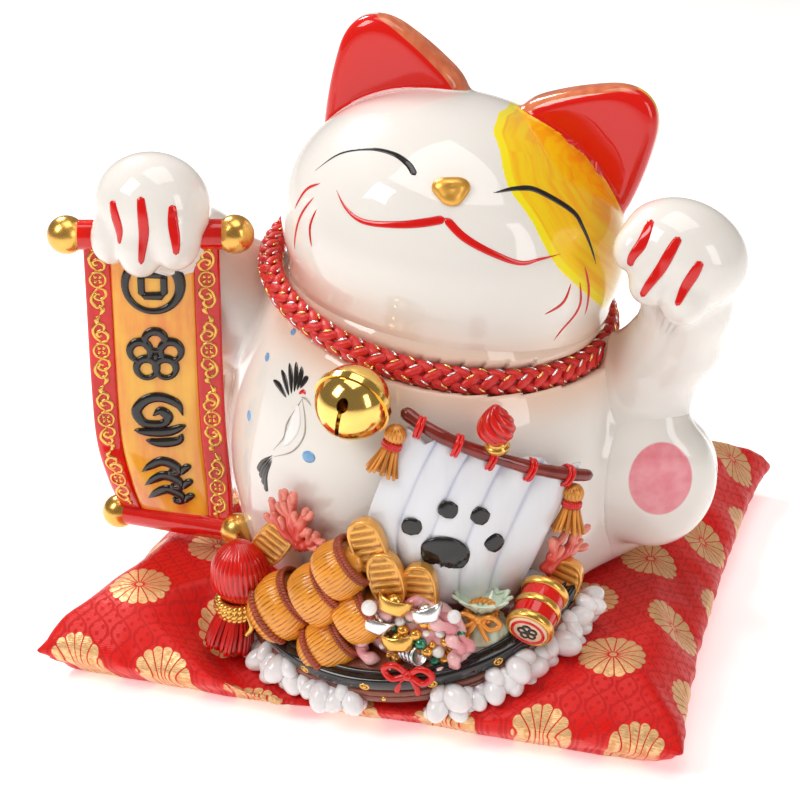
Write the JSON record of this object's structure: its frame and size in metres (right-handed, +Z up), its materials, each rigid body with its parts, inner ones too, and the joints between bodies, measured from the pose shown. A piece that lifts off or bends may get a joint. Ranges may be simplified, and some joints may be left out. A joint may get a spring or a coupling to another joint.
{
  "type": "beckoning cat figurine",
  "caption": "Seated beckoning cat of glazed ceramic with a raised paw, a hanging scroll, a relief treasure boat, a belled cord collar and a square brocade cushion.",
  "frame": {"origin": "middle of the cushion's flat underside", "axes": "+Z up; the cat looks along -Y; the cushion's edges lie along X and Y"},
  "size_m": [0.3154, 0.309, 0.2922],
  "materials": {
    "white_glaze": "warm white gloss glaze",
    "red_glaze": "red gloss enamel",
    "gilt": "gilt lustre on glaze",
    "banner_paint": "orange and red enamel with gilt relief",
    "plank_brown": "red-brown painted planks",
    "black_enamel": "black gloss enamel",
    "sail_white": "white with lavender shading",
    "yard_brown": "dark red-brown gloss",
    "straw": "straw orange with brown wash",
    "pink_paint": "pink enamel",
    "silver_paint": "silver lustre",
    "pearl_white": "pearl white gloss",
    "green_enamel": "green gloss enamel",
    "pale_green": "pale green enamel",
    "coral_pink": "coral red enamel",
    "foam_white": "white with pink shading",
    "brocade": "red damask with gold chrysanthemum medallions",
    "satin": "plain red satin",
    "filling": "fibre wadding",
    "braid": "red braid with lurex threads",
    "bell_brass": "polished",
    "steel_pellet": "plain"
  },
  "bodies": {
    "cushion": {"cushion_top_cover": "brocade", "cushion_bottom_cover": "satin", "cushion_filling": "filling"},
    "cat": {"body_shell": "white_glaze", "head_shell": "white_glaze", "right_ear": "red_glaze", "left_ear": "red_glaze", "right_arm": "white_glaze", "right_paw": "white_glaze", "left_arm": "white_glaze", "left_paw": "white_glaze", "right_leg": "white_glaze", "left_leg": "white_glaze", "tail": "white_glaze", "nose": "gilt", "scroll_upper_roller": "red_glaze", "scroll_upper_knobs": "gilt", "scroll_banner": "banner_paint", "scroll_lower_roller": "red_glaze", "scroll_lower_knobs": "gilt", "boat_hull": "plank_brown", "boat_gunwale": "black_enamel", "gunwale_rivets": "gilt", "cargo_bed": "plank_brown", "prow_tassel_head": "red_glaze", "prow_tassel_cord": "gilt", "prow_tassel_skirt": "red_glaze", "sail": "sail_white", "sail_yard": "yard_brown", "yard_ties": "red_glaze", "mast_finial": "red_glaze", "mast_collar": "gilt", "right_yard_tassel": "straw", "left_yard_tassel": "straw", "rice_bale_1": "straw", "rice_bale_2": "straw", "rice_bale_3": "straw", "rice_bale_4": "straw", "rice_bale_5": "straw", "gold_tablets": "gilt", "treasure_bag": "pink_paint", "gold_ingots": "gilt", "silver_ingots": "silver_paint", "coin_stack": "gilt", "white_pearls": "pearl_white", "green_beads": "green_enamel", "gold_beads": "gilt", "green_pouch": "pale_green", "pouch_cord": "gilt", "mallet_barrel": "red_glaze", "mallet_bands": "gilt", "coral": "coral_pink", "waves": "foam_white"},
    "collar": {"collar_cord": "braid", "bell_eye": "bell_brass"},
    "bell": {"bell_upper_half": "bell_brass", "bell_lower_half": "bell_brass", "bell_rim": "bell_brass", "bell_shank": "bell_brass"},
    "pellet": {"bell_pellet": "steel_pellet"}
  },
  "joints": [
    {"name": "cat_lift", "type": "slide", "parent": "cushion", "child": "cat", "axis": [0, 0, 1], "range_m": [0, 0.12]},
    {"name": "collar_turn", "type": "hinge", "parent": "cat", "child": "collar", "pos_m": [0.008, -0.025, 0.169], "axis": [0.2323, -0.0968, 0.9678], "range_deg": [-12, 0]},
    {"name": "bell_swing", "type": "hinge", "parent": "collar", "child": "bell", "pos_m": [0.00111, -0.1108, 0.15984], "axis": [-0.9698, 0.0525, 0.238], "range_deg": [0, 35]},
    {"name": "pellet_rattle", "type": "slide", "parent": "bell", "child": "pellet", "axis": [0, 0, 1], "range_m": [0, 0.006]}
  ]
}
